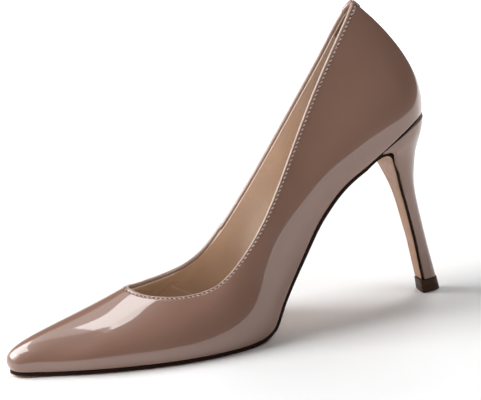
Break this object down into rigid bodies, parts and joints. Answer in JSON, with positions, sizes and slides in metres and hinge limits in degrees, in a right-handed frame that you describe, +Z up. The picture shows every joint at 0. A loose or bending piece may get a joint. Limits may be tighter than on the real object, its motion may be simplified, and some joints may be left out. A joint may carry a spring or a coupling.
{
  "type": "high heel pump",
  "caption": "Pointed-toe stiletto pump in nude patent leather, with a low-cut vamp, slim covered heel and thin tan leather sole",
  "frame": {"origin": "middle of the shoe's own box, at ground level", "axes": "+X from toe to heel, +Y to the medial (inner) side of this left shoe, +Z up"},
  "size_m": [0.2242, 0.0721, 0.1541],
  "materials": {
    "patent_upper": "dusty nude-brown patent, mirror gloss",
    "patent_heel": "the same patent wrapped tightly round the heel",
    "lining": "tan lining leather, satin",
    "heel_grip": "tan suede-like grip, matt",
    "stiffener": "impregnated fibre board, matt",
    "tape": "woven reinforcing tape",
    "sole_leather": "tan sole leather, smooth, its edge painted dark brown",
    "cork": "cork composition, matt",
    "board": "dense insole board, matt",
    "foam": "latex foam, matt",
    "sock": "tan sock leather, satin",
    "steel": "spring steel, satin",
    "brass": "brassed steel, satin",
    "heel_plastic": "moulded ABS, satin",
    "edge_leather": "dark brown painted edge",
    "top_lift": "hard dark brown polyurethane, satin"
  },
  "bodies": {
    "root": {"back_tab": "patent_upper", "ball_pad": "foam", "bottom_filler": "cork", "heel_core": "heel_plastic", "heel_counter": "stiffener", "heel_cover": "patent_heel", "heel_grip_lining": "heel_grip", "heel_nail_1": "brass", "heel_nail_2": "brass", "heel_nail_3": "brass", "heel_nail_4": "brass", "heel_pad": "foam", "heel_screw": "steel", "heel_seat_rand": "edge_leather", "heel_tube": "steel", "insole_board": "board", "lateral_quarter_lining": "lining", "medial_quarter_lining": "lining", "outsole": "sole_leather", "shank_board": "board", "shank_rivet_1": "brass", "shank_rivet_2": "brass", "sock_lining": "sock", "steel_shank": "steel", "toe_puff": "stiffener", "top_lift": "top_lift", "top_lift_pin": "steel", "topline_tape": "tape", "upper_medial_quarter": "patent_upper", "upper_vamp_and_lateral_quarter": "patent_upper", "vamp_lining": "lining"}
  },
  "joints": []
}
